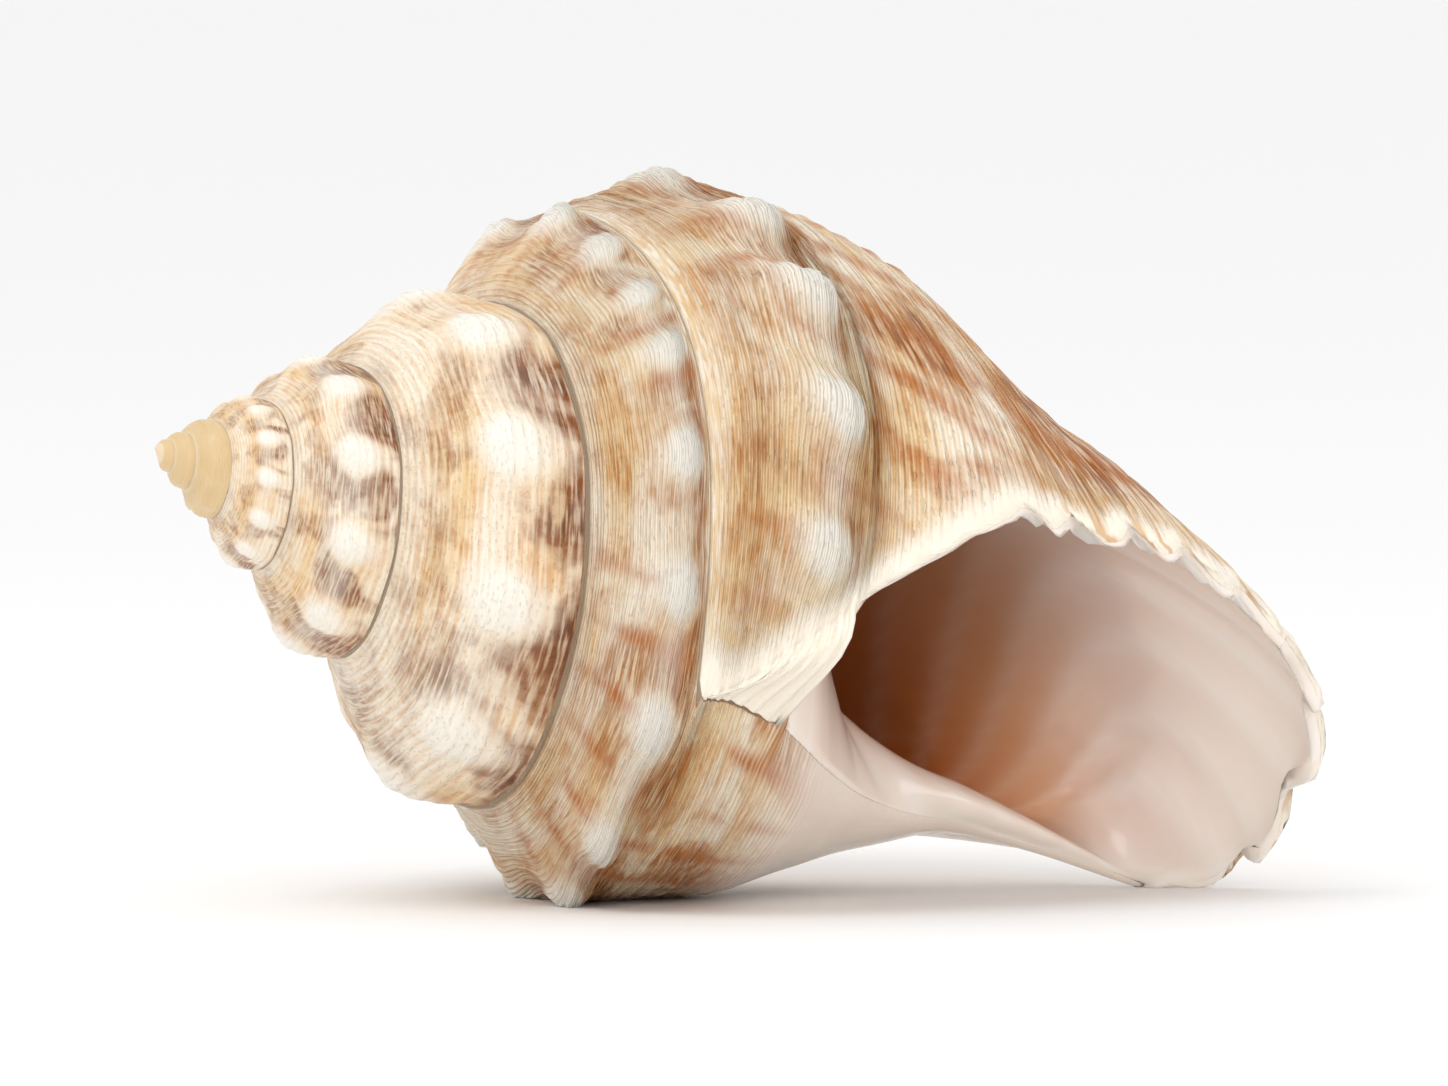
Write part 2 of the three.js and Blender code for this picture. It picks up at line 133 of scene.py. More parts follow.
def through(at, values, x):
    """A smooth curve through the values at these stations."""
    last = len(at) - 1
    x = np.clip(x, at[0], at[-1])
    i = np.clip(np.searchsorted(at, x, side="right") - 1, 0, last - 1)
    before = np.maximum(np.arange(last + 1) - 1, 0)
    after = np.minimum(np.arange(last + 1) + 1, last)
    slope = (values[after] - values[before]) / (at[after] - at[before])
    width = at[i + 1] - at[i]
    return bend(values[i], values[i + 1], slope[i] * width, slope[i + 1] * width, (x - at[i]) / width)


def suture(n):
    """Radius and height of the seam at turn n."""
    grown = np.exp(growth_a_turn * n)
    early = n < spiral_suture_end
    r = np.where(early, suture_radius * grown, through(suture_stations[:, 0], suture_stations[:, 1], n))
    z = np.where(early, suture_height * grown, through(suture_stations[:, 0], suture_stations[:, 2], n))
    return np.stack([r, z], -1)


def shoulder(n):
    """Radius and height of the knobbed shoulder at turn n."""
    grown = np.exp(growth_a_turn * n)
    early = n < spiral_shoulder_end
    at = shoulder_stations[:, 0]
    r = np.where(early, suture_radius * grown * shoulder_out, through(at, shoulder_stations[:, 1], n))
    z = np.where(early, suture_height * grown * shoulder_along, through(at, shoulder_stations[:, 2], n))
    return np.stack([r, z], -1)


def mix(a, b, t):
    return a + (b - a) * np.asarray(t)[..., None]


def wall_points(n):
    """The wall of turn n: 0 suture, 2 shoulder, 3 seat of the next turn, 4 to 10 base, 11 canal."""
    top, side = suture(n), shoulder(n)
    ramp = top + (side - top) * np.array([ramp_out, ramp_along])
    below = np.stack([np.stack([through(base_turns, base_stations[:, k, c], n) for c in (0, 1)], -1)
                      for k in range(7)])
    end = suture(np.full_like(n, last_turn))
    seat = mix(end, mix(side, below[0], np.full_like(n, 0.5)), ease(n, last_turn - 1, lip_seat_end))
    next_top = np.where((n < last_turn - 1)[..., None], suture(n + 1), seat)
    turned_in = np.stack([next_top[..., 0] - side_turn_in * (next_top[..., 0] - side[..., 0]),
                          2 * next_top[..., 1] - side[..., 1]], -1)
    below[0] = mix(turned_in, below[0], ease(n, side_blend_from, last_turn - 1))
    corner = np.broadcast_to(np.array(canal_corner), top.shape)
    tip = np.broadcast_to(np.array(canal_tip), top.shape)
    return np.concatenate([np.stack([top, ramp, side, next_top]), below, np.stack([corner, tip])])


def covered_points(n):
    """The wall of turn n where the next turn covers it, seen inside the mouth."""
    pts = wall_points(n)
    shrink = np.exp(growth_a_turn * (n - last_turn + 1))
    open_part = ease(n, last_turn - 1 - hollow_blend, last_turn - 1)
    at = hollow_corners[:, 0]
    corner = np.stack([through(at, hollow_corners[:, c], n + 1) for c in (1, 2)], -1)
    for k in range(7):
        pts[4 + k] = base_stations[0, k] * shrink[..., None]
    start = [base_stations[0, k] + 0 * corner for k in (5, 6)]
    pts[9] = mix(mix(pts[8], corner, np.full_like(n, 0.4)), start[0], open_part)
    pts[10] = mix(mix(pts[8], corner, np.full_like(n, 0.75)), start[1], open_part)
    pts[11] = corner
    return pts


def along(pts, s):
    """The point at row s of a wall."""
    i = np.clip(np.floor(s).astype(int), 0, len(pts) - 2)
    slopes = np.concatenate([pts[1:2] - pts[:1], (pts[2:] - pts[:-2]) / 2, pts[-1:] - pts[-2:-1]])
    cell = np.arange(len(s))
    t = (s - i)[:, None]
    return bend(pts[i, cell], pts[i + 1, cell], slopes[i, cell], slopes[i + 1, cell], t)


def place(rz, n):
    """Radius, height and turn to a point of the lying shell, in metres."""
    r, z = rz[:, 0], rz[:, 1]
    a = start_azimuth - 2 * math.pi * n
    front = lean_front[0] * ease(z, *lean_front[1:])
    fall = lean_down[0] * ease(z, *lean_down[1:]) + lean_slope * np.maximum(0, z - lean_slope_from)
    coil = np.stack([z, front + r * np.cos(a), r * np.sin(a) - fall], -1)
    return (coil @ lying.T + coil_origin) * MM


def outward(n):
    """The direction away from the axis at turn n."""
    a = start_azimuth - 2 * math.pi * n
    return np.stack([0 * a, np.cos(a), np.sin(a)], -1) @ lying.T


def turn_of(q, s):
    """Columns lean over the last half turn, so that the last column is the lip."""
    azimuth = np.radians(through(lip_azimuths[:, 0], lip_azimuths[:, 1], s))
    end = math.floor(last_turn) + (start_azimuth - azimuth) / (2 * math.pi)
    part = (q - lip_lean_from) / (last_turn - lip_lean_from)
    return np.where(q <= lip_lean_from, q, lip_lean_from + part * (end - lip_lean_from))


def outside(q, s):
    """The outer face of the wall at column q and row s."""
    n = turn_of(q, s)
    return place(along(wall_points(n), s), n)


def heading(q, s):
    """The direction in which the shell grows at column q and row s."""
    ahead = np.minimum(q + 0.01, last_turn)
    step = outside(ahead, s) - outside(ahead - 0.02, s)
    return step / np.linalg.norm(step, axis=1)[:, None]


def lined(q, s):
    """The inner face of the outer wall."""
    across = outside(q, s + 0.05) - outside(q, s - 0.05)
    inward = np.cross(heading(q, s), across)
    inward = inward / np.linalg.norm(inward, axis=1)[:, None]
    thick = wall * (1 - (1 - thinnest) * ease(s, thin_from_row, 11)) * MM
    return outside(q, s) - inward * thick[:, None]


spots, growing, radials = [], [], []
marks = {"turn": [], "row": [], "side": [], "behind_lip": []}
faces = []
OUTER, LINER, COLUMELLA = 0.0, 1.0, 2.0


def line_of(points, ahead, turns, rows, side, behind):
    """Adds a line of vertices with what the sculpture and the glaze need, and returns their numbers."""
    first = sum(len(block) for block in spots)
    spots.append(points)
    growing.append(ahead)
    radials.append(outward(turns))
    for name, value in zip(marks, (turns, rows, side + 0 * turns, behind + 0 * turns)):
        marks[name].append(value)
    return list(range(first, first + len(points)))


def zip_up(left, right):
    """Faces between two lines of vertices of any lengths."""
    i = j = 0
    while i < len(left) - 1 or j < len(right) - 1:
        next_left = (i + 1) / (len(left) - 1) if i < len(left) - 1 else 2
        next_right = (j + 1) / (len(right) - 1) if j < len(right) - 1 else 2
        if next_left <= next_right:
            corners = (left[i], right[j], left[i + 1])
            i += 1
        else:
            corners = (left[i], right[j], right[j + 1])
            j += 1
        if len(set(corners)) == 3:
            faces.append(corners)


def skin(left, right, inside_out=False):
    """Quads between two lines of the same length."""
    for a, b, c, d in zip(left, right, right[1:], left[1:]):
        corners = (a, d, c, b) if inside_out else (a, b, c, d)
        if len(set(corners)) > 2:
            faces.append(tuple(dict.fromkeys(corners)))


spire_rows = np.linspace(0, 3, 40)
side_rows = np.linspace(0, 3, 72)
base_rows = np.concatenate([np.linspace(3, 3.6, 9)[1:], np.linspace(3.6, 5.2, 22)[1:],
                            np.linspace(5.2, 11, 84)[1:]])
covered_rows = np.linspace(5.2, 11, 40)
liner_rows = np.linspace(3.6, 11, 66)
last_column = math.floor((last_turn - first_turn) * columns_a_turn)
open_column = last_column - columns_a_turn
hollow_column = last_column - round((last_turn - hollow_first_turn) * columns_a_turn)


def column_turn(i):
    return last_turn - (last_column - i) / columns_a_turn


def outer_line(i, rows):
    q = np.full(len(rows), column_turn(i))
    return line_of(outside(q, rows), heading(q, rows), turn_of(q, rows), rows, OUTER, last_turn - q[0])


# Outside of every whorl: the last row of each is the suture of the turn after.
whorls = {}
for i in range(last_column, -1, -1):
    rows = side_rows if i >= open_column else spire_rows
    following = whorls.get(i + columns_a_turn)
    whorls[i] = outer_line(i, rows if following is None else rows[:-1])
    if following is not None:
        whorls[i].append(following[0])

# Base of the last whorl, out to the canal corner, where its two ends meet.
base = {}
for i in range(open_column, last_column + 1):
    base[i] = outer_line(i, base_rows if i < last_column else base_rows[:-1])
base[last_column].append(base[open_column][-1])

# The columella wall inside the mouth, then the lining of the outer wall.
columella = {}
for i in range(hollow_column - columns_a_turn, open_column):
    n = np.full(len(covered_rows), column_turn(i))
    points = place(along(covered_points(n), covered_rows), n)
    depth = last_turn - 1 - n[0]
    columella[i] = line_of(points, heading(n, covered_rows), n, covered_rows, COLUMELLA, depth)
seat_row = int(np.argmin(np.abs(base_rows - hollow_inner_row)))
shared = base[open_column][seat_row:]
columella[open_column] = [shared[round(k)] for k in np.linspace(0, len(shared) - 1, len(covered_rows))]

lining = {}
for i in range(hollow_column, last_column + 1):
    q = column_turn(i)
    stretch = (through(hollow_corners[:, 0], hollow_corners[:, 3], np.array([q]))[0] - hollow_outer_row)
    rows = hollow_outer_row + (liner_rows[:-1] - hollow_outer_row) * stretch / (11 - hollow_outer_row)
    columns = np.full(len(rows), q)
    behind = columella[i - columns_a_turn]
    lining[i] = (lined(columns, rows), rows, columns, behind)
joined = np.concatenate(spots)
for i, (flat, rows, columns, behind) in lining.items():
    closing = ease(liner_rows[:-1], hollow_front_row, 11) * (1 - ease(columns[0], lip_lean_from, last_turn))
    points = flat + (joined[behind[-1]] - flat) * closing[:, None]
    made = line_of(points, heading(columns, rows), turn_of(columns, rows), rows, LINER,
                   last_turn - columns[0])
    lining[i] = [behind[0], *made, behind[-1]]

for i in range(last_column):
    if i == open_column - 1:
        zip_up(whorls[i], whorls[i + 1])
    else:
        skin(whorls[i], whorls[i + 1])
last_wall = {i: [whorls[i][-1], *base[i]] for i in base}
for i in range(open_column, last_column):
    skin(last_wall[i], last_wall[i + 1])
for i in range(hollow_column - columns_a_turn, open_column - 1):
    skin(columella[i], columella[i + 1])
zip_up(columella[open_column - 1], shared)
for i in range(hollow_column, last_column):
    skin(lining[i], lining[i + 1], inside_out=True)

# The rim: the lip is seated on the turn before as far as the corner, then stands free and rounds over.
joined = np.concatenate(spots)
lip = whorls[last_column] + base[last_column]
seat = len(whorls[last_column])
seated = np.array(lip[:seat + 1])
seat_below = np.array(last_wall[open_column][:seat_row + 2])
evenly = np.linspace(0, 1, len(seated))
below = np.stack([np.interp(evenly, np.linspace(0, 1, len(seat_below)), joined[seat_below][:, c])
                  for c in range(3)], -1)
seat_rows = np.append(side_rows, base_rows[0])
seat_turns = turn_of(np.full(len(seat_rows), last_turn), seat_rows)
drop = below - joined[seated]
swell = outward(seat_turns) * np.linalg.norm(drop, axis=1)[:, None] * fold_swell
fold = [list(seated)]
for toward in (0.12, 0.25, 0.4, 0.55, 0.7, 0.85, 0.975):
    points = joined[seated] + drop * toward + swell * math.sin(math.pi * toward) * (1 - toward)
    made = line_of(points[1:-1], heading(np.full(len(points) - 2, last_turn), seat_rows[1:-1]),
                   seat_turns[1:-1], seat_rows[1:-1], OUTER, 0.0)
    fold.append([seated[0], *made, int(seated[-1])])
for upper, lower in zip(fold, fold[1:]):
    skin(upper, lower)
zip_up(fold[-1], list(seat_below))
free_lip = lip[seat:]
inner_lip = lining[last_column]
before_last = base[last_column - 1]
share = np.linspace(0, 1, len(free_lip))
inner_points = np.array([joined[k] for k in inner_lip])
inner_share = np.linspace(0, 1, len(inner_lip))
inner_match = np.stack([np.interp(share, inner_share, inner_points[:, c]) for c in range(3)], -1)[1:-1]
outer_points = joined[free_lip[1:-1]]
ahead = outer_points - joined[before_last[1:len(outer_points) + 1]]
ahead = ahead / np.linalg.norm(ahead, axis=1)[:, None]
rim_rows = np.concatenate([[3.6], base_rows])[1:len(outer_points) + 1]
bulge = math.sin(math.pi / 4)
arcs = []
for toward, rise in ((0.15, bulge), (0.5, 1.0), (0.85, bulge)):
    points = outer_points + (inner_match - outer_points) * toward + ahead * wall * MM * rim_rounding * rise
    made = line_of(points, ahead, turn_of(np.full(len(points), last_turn), rim_rows), rim_rows,
                   OUTER if toward < 0.4 else LINER, 0.0)
    arcs.append([free_lip[0], *made, free_lip[-1]])
zip_up(free_lip, arcs[0])
skin(arcs[0], arcs[1])
skin(arcs[1], arcs[2])
zip_up(arcs[2], inner_lip)


def cap(line, middle):
    """Closes the end of the wall with a fan of faces round one vertex."""
    for a, b in zip(line, line[1:]):
        if len({a, b, middle}) == 3:
            faces.append((a, b, middle))


def lone(point, n, row, side, behind):
    n = np.array([n])
    return line_of(point[None], heading(n, n * 0 + row), n, n * 0 + row, side, behind)[0]


apex_turn = column_turn(0)
apex_rz = np.array([[0, suture(np.array([apex_turn]))[0, 1] * apex_height]])
apex = lone(place(apex_rz, np.array([apex_turn]))[0], apex_turn, 0.0, OUTER, last_turn)
cap([whorls[i][0] for i in range(columns_a_turn, -1, -1)], apex)
cap(whorls[0], apex)
tip_point = place(np.array([[0, canal_tip[1]]]), np.array([last_turn]))[0]
canal_end = lone(tip_point, last_turn, 11.0, OUTER, 0.0)
cap([base[i][-1] for i in range(open_column, last_column + 1)], canal_end)
far_wall = lining[hollow_column][::-1]
far_columella = columella[hollow_column - columns_a_turn]
joined = np.concatenate(spots)
middle = lone(joined[far_wall + far_columella].mean(axis=0), hollow_first_turn, 6.0, LINER, 0.87)
cap(far_wall, middle)
cap(far_columella, middle)

vertices = np.concatenate(spots)
mesh = bpy.data.meshes.new("wound wall")
mesh.from_pydata(vertices.tolist(), [], faces)
turns = np.concatenate(marks["turn"])
marks = {name: np.concatenate(values) for name, values in marks.items()}
marks["knob_count"] = np.interp(turns, knob_counts[:, 0], knob_counts[:, 1])
marks["knob_height"] = through(knob_heights[:, 0], knob_heights[:, 1], turns) * MM
marks["depth"] = np.where(marks["side"] == OUTER, 0.0, marks["behind_lip"])
marks["size"] = np.clip(suture(turns)[:, 0] / 30, 0, 1)
for name, values in marks.items():
    layer = mesh.attributes.new(name, "FLOAT", "POINT")
    layer.data.foreach_set("value", values.astype(np.float32))
for name, blocks in (("radial", radials), ("ahead", growing)):
    layer = mesh.attributes.new(name, "FLOAT_VECTOR", "POINT")
    layer.data.foreach_set("vector", np.concatenate(blocks).astype(np.float32).ravel())
mesh.validate()
mesh.shade_smooth()
wound = bpy.data.objects.new("wound_wall", mesh)
bpy.context.collection.objects.link(wound)


# The sculpture on the wall: knobs on the shoulder, spiral cords, growth lines, ribs in the mouth and
# the scallops of the lip. A node tree raises them from the turn and row that each vertex carries.
def node(tree, kind, *values, out=0, **settings):
    """A node with its inputs filled in order, and its output."""
    made = tree.nodes.new(kind)
    for name, value in settings.items():
        setattr(made, name, value)
    for socket, value in zip(made.inputs, values):
        if isinstance(value, bpy.types.NodeSocket):
            tree.links.new(value, socket)
        elif value is not None:
            socket.default_value = value
    return made.outputs[out]


def calc(tree, operation, *values, clamp=False):
    return node(tree, "ShaderNodeMath", *values, operation=operation, use_clamp=clamp)


def ramp(tree, value, low, high, start=0.0, end=1.0):
    """Start below low, end above high, smooth between."""
    return node(tree, "ShaderNodeMapRange", value, low, high, start, end,
                interpolation_type="SMOOTHSTEP")


def noise(tree, x, y, z=0.0, detail=2.0, roughness=0.5, distortion=0.0):
    """Cloudy noise over a place that is given in its own units."""
    where = node(tree, "ShaderNodeCombineXYZ", x, y, z)
    made = tree.nodes.new("ShaderNodeTexNoise")
    tree.links.new(where, made.inputs["Vector"])
    for name, value in (("Scale", 1.0), ("Detail", detail), ("Roughness", roughness),
                        ("Distortion", distortion)):
        made.inputs[name].default_value = value
    return made.outputs[0]


def ripple(tree, phase):
    """0 to 1 and back once for each whole number of phase."""
    turned = calc(tree, "COSINE", calc(tree, "MULTIPLY", phase, 2 * math.pi))
    return calc(tree, "MULTIPLY_ADD", turned, 0.5, 0.5)


sculpture = bpy.data.node_groups.new("shell sculpture", "GeometryNodeTree")
sculpture.interface.new_socket("Geometry", in_out="INPUT", socket_type="NodeSocketGeometry")
sculpture_sizes = {
    "Knob sharpness": 1.5, "Knob sink": 0.35, "Knob reach": 0.75, "Cords a row": 3.0,
    "Cord height": 0.4 * MM, "Growth line height": 0.4 * MM, "Growth lines a turn": 75.0,
    "Scallops a row": 1.6, "Scallop depth": 2.6 * MM, "Ribs a row": 2.3, "Rib height": 0.32 * MM,
}
for name, value in sculpture_sizes.items():
    sculpture.interface.new_socket(name, in_out="INPUT", socket_type="NodeSocketFloat")
sculpture.interface.new_socket("Shell", in_out="INPUT", socket_type="NodeSocketMaterial")
sculpture.interface.new_socket("Geometry", in_out="OUTPUT", socket_type="NodeSocketGeometry")
given = sculpture.nodes.new("NodeGroupInput").outputs


def carried(name, kind="FLOAT"):
    made = sculpture.nodes.new("GeometryNodeInputNamedAttribute")
    made.data_type = kind
    made.inputs["Name"].default_value = name
    return made.outputs["Attribute"]


def moved(geometry, direction, distance):
    """The geometry moved along a direction by a distance."""
    offset = node(sculpture, "ShaderNodeVectorMath", direction, operation="SCALE")
    sculpture.links.new(distance, offset.node.inputs["Scale"])
    made = sculpture.nodes.new("GeometryNodeSetPosition")
    sculpture.links.new(geometry, made.inputs["Geometry"])
    sculpture.links.new(offset, made.inputs["Offset"])
    return made.outputs["Geometry"]


def kept(geometry, name, value):
    """The geometry with a value stored on it for the material."""
    made = sculpture.nodes.new("GeometryNodeStoreNamedAttribute")
    made.data_type = "FLOAT"
    made.domain = "POINT"
    made.inputs["Name"].default_value = name
    sculpture.links.new(geometry, made.inputs["Geometry"])
    sculpture.links.new(value, made.inputs["Value"])
    return made.outputs["Geometry"]


def relaxed(geometry, amount, rounds):
    """The geometry smoothed where the amount is above 0."""
    made = sculpture.nodes.new("GeometryNodeBlurAttribute")
    made.data_type = "FLOAT_VECTOR"
    made.inputs["Iterations"].default_value = rounds
    sculpture.links.new(node(sculpture, "GeometryNodeInputPosition"), made.inputs["Value"])
    sculpture.links.new(amount, made.inputs["Weight"])
    put = sculpture.nodes.new("GeometryNodeSetPosition")
    sculpture.links.new(geometry, put.inputs["Geometry"])
    sculpture.links.new(made.outputs["Value"], put.inputs["Position"])
    return put.outputs["Geometry"]


def g(operation, *values):
    return calc(sculpture, operation, *values)


turn, row, side = carried("turn"), carried("row"), carried("side")
behind, count, size = carried("behind_lip"), carried("knob_count"), carried("size")
is_outer = g("LESS_THAN", side, 0.5)
is_liner = g("MULTIPLY", g("GREATER_THAN", side, 0.5), g("LESS_THAN", side, 1.5))

# Lime fills the last seam, so the newest turn runs on from the one before without a groove.
new_edge = g("MULTIPLY", ramp(sculpture, row, 0.1, 0.5, 1.0, 0.0), ramp(sculpture, turn, 5.95, 6.1))
old_edge = g("MULTIPLY", ramp(sculpture, row, 2.6, 2.95), ramp(sculpture, turn, 4.95, 5.1))
old_edge = g("MULTIPLY", old_edge, ramp(sculpture, turn, 5.72, 5.8, 1.0, 0.0))
smooth_seam = g("MULTIPLY", g("MAXIMUM", new_edge, old_edge), is_outer)

peak = g("POWER", ripple(sculpture, count), given["Knob sharpness"])
from_shoulder = g("DIVIDE", g("SUBTRACT", row, 2.0), given["Knob reach"])
reach = g("EXPONENT", g("MULTIPLY", g("MULTIPLY", from_shoulder, from_shoulder), -1.0))
reach = g("MULTIPLY", reach, is_outer)
knob = g("MULTIPLY", peak, reach)
rise = g("MULTIPLY", g("SUBTRACT", peak, given["Knob sink"]), reach)
knob_lift = g("MULTIPLY", rise, carried("knob_height"))
shape = moved(given["Geometry"], carried("radial", "FLOAT_VECTOR"), knob_lift)
shape = kept(shape, "knob", knob)
seam_rounds = 110
shape = kept(relaxed(shape, smooth_seam, seam_rounds), "filled", smooth_seam)

# The glaze laid down beside the mouth drowns the cords there.
near_axis = ramp(sculpture, row, 4.9, 6.6)
young = ramp(sculpture, turn, 6.15, 6.3, 1.0, 0.0)
glazed = g("MULTIPLY", g("MULTIPLY", near_axis, young), is_outer)
rough_skin = g("MULTIPLY", g("SUBTRACT", 1.0, g("MAXIMUM", glazed, smooth_seam)), is_outer)
shape = kept(shape, "glaze", glazed)

cord_phase = g("MULTIPLY", row, given["Cords a row"])
cord = g("POWER", ripple(sculpture, cord_phase), 0.8)
beads = noise(sculpture, g("MULTIPLY", turn, 70.0), g("MULTIPLY", row, 9.0))
beaded = g("MULTIPLY", cord, ramp(sculpture, beads, 0.2, 0.8, 0.55, 1.25))
cord_lift = g("MULTIPLY", g("MULTIPLY", g("SUBTRACT", beaded, 0.35), given["Cord height"]),
              g("MULTIPLY", rough_skin, size))
lines = noise(sculpture, g("MULTIPLY", turn, given["Growth lines a turn"]), g("MULTIPLY", row, 0.8),
              detail=3.0)
near_lip = g("MULTIPLY", ramp(sculpture, behind, 0.05, 0.5, 1.4, 0.8),
             ramp(sculpture, behind, 0.004, 0.04, 0.15, 1.0))
line_lift = g("MULTIPLY", g("MULTIPLY", g("SUBTRACT", lines, 0.5), given["Growth line height"]),
              g("MULTIPLY", g("MULTIPLY", rough_skin, size), near_lip))
normal = node(sculpture, "GeometryNodeInputNormal")
shape = moved(shape, normal, g("ADD", cord_lift, line_lift))

# Ribs inside the outer lip, and the scallops of its edge.
scallop_phase = g("MULTIPLY", row, given["Scallops a row"])
waver = g("MULTIPLY", noise(sculpture, g("MULTIPLY", row, 1.7), 0.0), 0.7)
scallop = ripple(sculpture, g("ADD", scallop_phase, waver))
free_edge = ramp(sculpture, row, 3.7, 4.6)
wave = ripple(sculpture, g("MULTIPLY_ADD", row, given["Ribs a row"], waver))
fading = ramp(sculpture, behind, 0.05, 0.42, 1.0, 0.3)
rib = g("MULTIPLY", g("SUBTRACT", g("POWER", wave, 1.6), 0.4), fading)
rib_lift = g("MULTIPLY", g("MULTIPLY", rib, given["Rib height"]), g("MULTIPLY", is_liner, free_edge))
shape = moved(shape, normal, rib_lift)
shape = kept(shape, "rib", wave)
notch = g("POWER", g("SUBTRACT", 1.0, scallop), 1.3)
at_edge = g("EXPONENT", g("MULTIPLY", behind, -55.0))
wing = g("MULTIPLY", ramp(sculpture, row, 4.6, 5.4), ramp(sculpture, row, 10.2, 10.8, 1.0, 0.0))
on_lip = g("LESS_THAN", side, 1.5)
cut = g("MULTIPLY", g("MULTIPLY", g("MULTIPLY", notch, at_edge), g("MULTIPLY", wing, on_lip)),
        given["Scallop depth"])
shape = moved(shape, carried("ahead", "FLOAT_VECTOR"), g("MULTIPLY", cut, -1.0))

# The wall is flat where it stands: nothing goes below the surface it lies on.
place_now = node(sculpture, "GeometryNodeInputPosition")
apart = sculpture.nodes.new("ShaderNodeSeparateXYZ")
sculpture.links.new(place_now, apart.inputs[0])
floor_level = g("MAXIMUM", apart.outputs[2], 0.0)
worn = node(sculpture, "ShaderNodeCombineXYZ", apart.outputs[0], apart.outputs[1], floor_level)
settle = sculpture.nodes.new("GeometryNodeSetPosition")
sculpture.links.new(shape, settle.inputs["Geometry"])
sculpture.links.new(worn, settle.inputs["Position"])
real = node(sculpture, "GeometryNodeRealizeInstances", settle.outputs[0])
dressed = sculpture.nodes.new("GeometryNodeSetMaterial")
sculpture.links.new(real, dressed.inputs["Geometry"])
sculpture.links.new(given["Shell"], dressed.inputs["Material"])
sculpture.links.new(dressed.outputs[0], sculpture.nodes.new("NodeGroupOutput").inputs[0])

# The shell's colour: ivory lime with chestnut flames between white knobs, broken into dashes by the
# cords, and a pink and orange glaze in the mouth.
lime = bpy.data.materials.new("shell_lime")
lime.use_nodes = True
paint = lime.node_tree
surface = paint.nodes["Principled BSDF"]


def tint(code):
    """A web colour as linear light."""
    channels = [int(code[k:k + 2], 16) / 255 for k in (0, 2, 4)]
    return [c / 12.92 if c < 0.04045 else ((c + 0.055) / 1.055) ** 2.4 for c in channels] + [1]


def p(operation, *values, clamp=False):
    return calc(paint, operation, *values, clamp=clamp)


def drawn(name):
    made = paint.nodes.new("ShaderNodeAttribute")
    made.attribute_name = name
    return made.outputs["Fac"]


def blend(amount, under, over):
    """One colour over another, by an amount."""
    made = paint.nodes.new("ShaderNodeMix")
    made.data_type = "RGBA"
    for socket, value in zip((made.inputs[0], made.inputs[6], made.inputs[7]), (amount, under, over)):
        if isinstance(value, bpy.types.NodeSocket):
            paint.links.new(value, socket)
        else:
            socket.default_value = value
    return made.outputs[2]


turn, row, side = drawn("turn"), drawn("row"), drawn("side")
behind, count, size = drawn("behind_lip"), drawn("knob_count"), drawn("size")
knob, glaze, rib, depth = drawn("knob"), drawn("glaze"), drawn("rib"), drawn("depth")
filled = drawn("filled")

grown_up = ramp(paint, turn, 1.8, 2.7)
last_whorl = ramp(paint, turn, 5.2, 5.7)
cloud = noise(paint, p("MULTIPLY", count, 0.55), p("MULTIPLY", row, 0.9), detail=3.0)
ground = blend(ramp(paint, cloud, 0.35, 0.65), tint("F5EAD6"), tint("EACD9E"))
threads = ripple(paint, p("MULTIPLY", row, p("MULTIPLY_ADD", last_whorl, 6.0, 6.0)))
groove = p("SUBTRACT", 1.0, threads)
keel_distance = p("DIVIDE", p("SUBTRACT", row, 2.0), 0.34)
keel = p("EXPONENT", p("MULTIPLY", p("MULTIPLY", keel_distance, keel_distance), -1.0))
between = ramp(paint, p("ADD", knob, p("MULTIPLY", keel, 0.3)), 0.25, 0.75, 1.0, 0.0)
flame_noise = noise(paint, p("MULTIPLY", count, 1.25), p("MULTIPLY", row, 0.7), 7.3, detail=3.0,
                    distortion=0.5)
flame = p("MULTIPLY", ramp(paint, flame_noise, 0.43, 0.55), between)
dash_noise = noise(paint, p("MULTIPLY", count, 3.2), p("MULTIPLY", row, 18.0), 2.1, detail=2.0)
dash = ramp(paint, dash_noise, 0.38, 0.6)
fine_noise = noise(paint, p("MULTIPLY", turn, 60.0), p("MULTIPLY", row, 1.6), 5.5, detail=4.0)
fine = ramp(paint, fine_noise, 0.38, 0.66)
front_half = ramp(paint, row, 1.0, 2.4, 0.45, 1.0)
flame_depth = p("MULTIPLY", p("MULTIPLY", flame, front_half), grown_up)
broken = p("MULTIPLY_ADD", dash, 0.5, 0.5)
stripes = p("MULTIPLY", flame_depth, p("MULTIPLY", broken, p("MULTIPLY_ADD", fine, 0.4, 0.75)), clamp=True)
yellowed = blend(p("MULTIPLY", groove, p("MULTIPLY_ADD", dash, 0.3, 0.1)), ground, tint("D69A4A"))
honey_patch = ramp(paint, cloud, 0.38, 0.62, 0.15, 0.75)
honeyed = blend(p("MULTIPLY", p("MULTIPLY", fine, dash), p("MULTIPLY", grown_up, honey_patch)), yellowed,
                tint("CF8E48"))
chestnut = blend(last_whorl, tint("8C4E1A"), tint("BC762A"))
flamed = blend(stripes, honeyed, chestnut)
deep = p("MULTIPLY", p("MULTIPLY", ramp(paint, flame_noise, 0.54, 0.66), dash), flame_depth)
deepest = blend(last_whorl, tint("66340F"), tint("96541A"))
flamed = blend(p("MULTIPLY", deep, 0.85), flamed, deepest)

